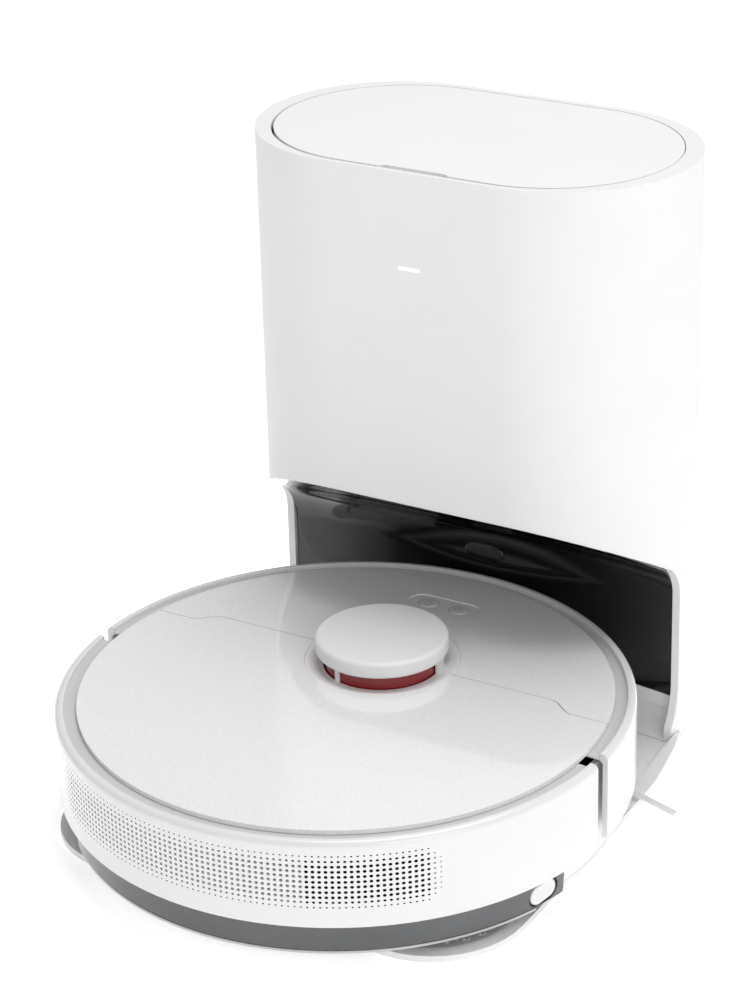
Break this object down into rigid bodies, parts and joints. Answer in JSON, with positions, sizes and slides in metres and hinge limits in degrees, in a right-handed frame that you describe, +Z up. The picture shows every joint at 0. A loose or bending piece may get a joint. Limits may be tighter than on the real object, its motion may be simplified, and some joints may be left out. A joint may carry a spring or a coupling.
{
  "type": "robot vacuum with self-emptying dock",
  "caption": "Round robot vacuum with a laser turret and mop tank, parked nose-in under an upright self-emptying charging dock.",
  "frame": {"origin": "on the floor, below the middle of the dock's tower, on the flat underside of the dock's base", "axes": "+Z up; -Y is the front, the way the robot drives out; +X to the right seen from the front"},
  "size_m": [0.35, 0.433, 0.385],
  "materials": {
    "white": "gloss moulded",
    "white_satin": "satin moulded",
    "black_gloss": "high gloss",
    "dark": "fine texture",
    "grey_rubber": "ribbed",
    "black_rubber": "matt",
    "smoked": "smoked clear",
    "window": "dark red clear",
    "circuit": "solder mask",
    "contact": "plated",
    "steel": "brushed",
    "paper": "non-woven",
    "cloth": "short pile",
    "bristle": "nylon",
    "light": "frosted"
  },
  "bodies": {
    "dock": {"dock_base": "white", "wheel_pad_L": "grey_rubber", "wheel_pad_R": "grey_rubber", "tower_shell": "white", "recess_liner": "black_gloss", "ir_window": "window", "lower_panel": "white_satin", "status_light": "light", "intake_duct": "dark", "intake_seal": "black_rubber", "dust_duct": "dark", "bag_chamber": "white_satin", "dock_fan_housing": "dark", "control_board": "circuit", "power_inlet": "dark"},
    "dock_lid": {"dock_lid": "white"},
    "dust_bag": {"dust_bag": "paper", "bag_collar": "white_satin"},
    "dock_impeller": {"dock_impeller": "steel"},
    "charge_pin_L": {"charge_pin_L": "contact"},
    "charge_pin_R": {"charge_pin_R": "contact"},
    "robot": {"robot_chassis": "dark", "chassis_wall": "dark", "rear_shell": "white", "exhaust_grille": "white", "robot_deck": "white", "battery": "dark", "main_board": "circuit", "fan_housing": "dark", "brush_housing": "dark", "side_brush_motor": "dark", "lidar_base": "dark", "cliff_sensor_L": "black_gloss", "cliff_sensor_R": "black_gloss", "robot_contact_L": "contact", "robot_contact_R": "contact"},
    "bumper": {"bumper": "white"},
    "dust_lid": {"dust_lid": "white"},
    "dust_bin": {"dust_bin": "smoked", "bin_filter": "paper"},
    "turret_cap": {"turret_cap": "white"},
    "lidar_rotor": {"lidar_rotor": "window"},
    "button_home": {"button_home": "white"},
    "button_power": {"button_power": "white"},
    "arm_L": {"wheel_arm_L": "dark"},
    "arm_R": {"wheel_arm_R": "dark"},
    "wheel_L": {"wheel_L": "dark", "tyre_L": "black_rubber"},
    "wheel_R": {"wheel_R": "dark", "tyre_R": "black_rubber"},
    "caster_fork": {"caster_fork": "dark"},
    "caster_wheel": {"caster_wheel": "white_satin"},
    "main_brush": {"main_brush": "grey_rubber"},
    "side_brush": {"side_brush": "bristle"},
    "fan_impeller": {"fan_impeller": "dark"},
    "water_tank": {"water_tank": "smoked", "tank_plug": "black_rubber", "mop_pad": "cloth"},
    "tank_clip_L": {"tank_clip_L": "white"},
    "tank_clip_R": {"tank_clip_R": "white"}
  },
  "joints": [
    {"name": "drive_out", "type": "slide", "parent": "dock", "child": "robot", "axis": [0, -1, 0], "range_m": [0, 0.3]},
    {"name": "dock_lid_hinge", "type": "hinge", "parent": "dock", "child": "dock_lid", "pos_m": [0, 0.0799, 0.385], "axis": [-1, 0, 0], "range_deg": [0, 100]},
    {"name": "bag_lift", "type": "slide", "parent": "dock", "child": "dust_bag", "axis": [0, 0, 1], "range_m": [0, 0.025]},
    {"name": "dock_fan_spin", "type": "hinge", "parent": "dock", "child": "dock_impeller", "pos_m": [0.07, 0.044, 0.145], "axis": [0, 0, 1], "continuous": true},
    {"name": "charge_pin_press_L", "type": "slide", "parent": "dock", "child": "charge_pin_L", "axis": [0, 0, -1], "range_m": [0, 0.0015], "stiffness_N_per_m": 600},
    {"name": "charge_pin_press_R", "type": "slide", "parent": "dock", "child": "charge_pin_R", "axis": [0, 0, -1], "range_m": [0, 0.0015], "stiffness_N_per_m": 600},
    {"name": "bumper_press", "type": "slide", "parent": "robot", "child": "bumper", "axis": [0, -1, 0], "range_m": [0, 0.004], "stiffness_N_per_m": 900},
    {"name": "dust_lid_hinge", "type": "hinge", "parent": "robot", "child": "dust_lid", "pos_m": [0, -0.128, 0.085], "axis": [-1, 0, 0], "range_deg": [0, 70]},
    {"name": "bin_lift", "type": "slide", "parent": "robot", "child": "dust_bin", "axis": [0, 0, 1], "range_m": [0, 0.005]},
    {"name": "turret_press", "type": "slide", "parent": "robot", "child": "turret_cap", "axis": [0, 0, -1], "range_m": [0, 0.0012], "stiffness_N_per_m": 2500},
    {"name": "lidar_spin", "type": "hinge", "parent": "robot", "child": "lidar_rotor", "pos_m": [0, -0.128, 0.08], "axis": [0, 0, 1], "continuous": true},
    {"name": "home_press", "type": "slide", "parent": "robot", "child": "button_home", "axis": [0, 0, -1], "range_m": [0, 0.0008], "stiffness_N_per_m": 1200},
    {"name": "power_press", "type": "slide", "parent": "robot", "child": "button_power", "axis": [0, 0, -1], "range_m": [0, 0.0008], "stiffness_N_per_m": 1200},
    {"name": "suspension_L", "type": "hinge", "parent": "robot", "child": "arm_L", "pos_m": [-0.0966, -0.214, 0.038], "axis": [1, 0, 0], "range_deg": [0, 6], "stiffness_Nm_per_rad": 6},
    {"name": "suspension_R", "type": "hinge", "parent": "robot", "child": "arm_R", "pos_m": [0.0966, -0.214, 0.038], "axis": [1, 0, 0], "range_deg": [0, 6], "stiffness_Nm_per_rad": 6},
    {"name": "wheel_spin_L", "type": "hinge", "parent": "arm_L", "child": "wheel_L", "pos_m": [-0.112, -0.172, 0.038], "axis": [1, 0, 0], "continuous": true},
    {"name": "wheel_spin_R", "type": "hinge", "parent": "arm_R", "child": "wheel_R", "pos_m": [0.112, -0.172, 0.038], "axis": [1, 0, 0], "continuous": true},
    {"name": "caster_swivel", "type": "hinge", "parent": "robot", "child": "caster_fork", "pos_m": [0, -0.034, 0.02], "axis": [0, 0, 1], "continuous": true},
    {"name": "caster_roll", "type": "hinge", "parent": "caster_fork", "child": "caster_wheel", "pos_m": [0, -0.038, 0.019], "axis": [1, 0, 0], "continuous": true},
    {"name": "main_brush_spin", "type": "hinge", "parent": "robot", "child": "main_brush", "pos_m": [0, -0.12, 0.0255], "axis": [1, 0, 0], "continuous": true},
    {"name": "side_brush_spin", "type": "hinge", "parent": "robot", "child": "side_brush", "pos_m": [0.112, -0.076, 0.01], "axis": [0, 0, 1], "continuous": true},
    {"name": "fan_spin", "type": "hinge", "parent": "robot", "child": "fan_impeller", "pos_m": [0.112, -0.254, 0.045], "axis": [0, 0, 1], "continuous": true},
    {"name": "tank_slide", "type": "slide", "parent": "robot", "child": "water_tank", "axis": [0, -1, 0], "range_m": [0, 0.1]},
    {"name": "clip_press_L", "type": "slide", "parent": "water_tank", "child": "tank_clip_L", "axis": [0.9483, 0.3173, 0], "range_m": [0, 0.002], "stiffness_N_per_m": 800},
    {"name": "clip_press_R", "type": "slide", "parent": "water_tank", "child": "tank_clip_R", "axis": [-0.9483, 0.3173, 0], "range_m": [0, 0.002], "stiffness_N_per_m": 800}
  ]
}
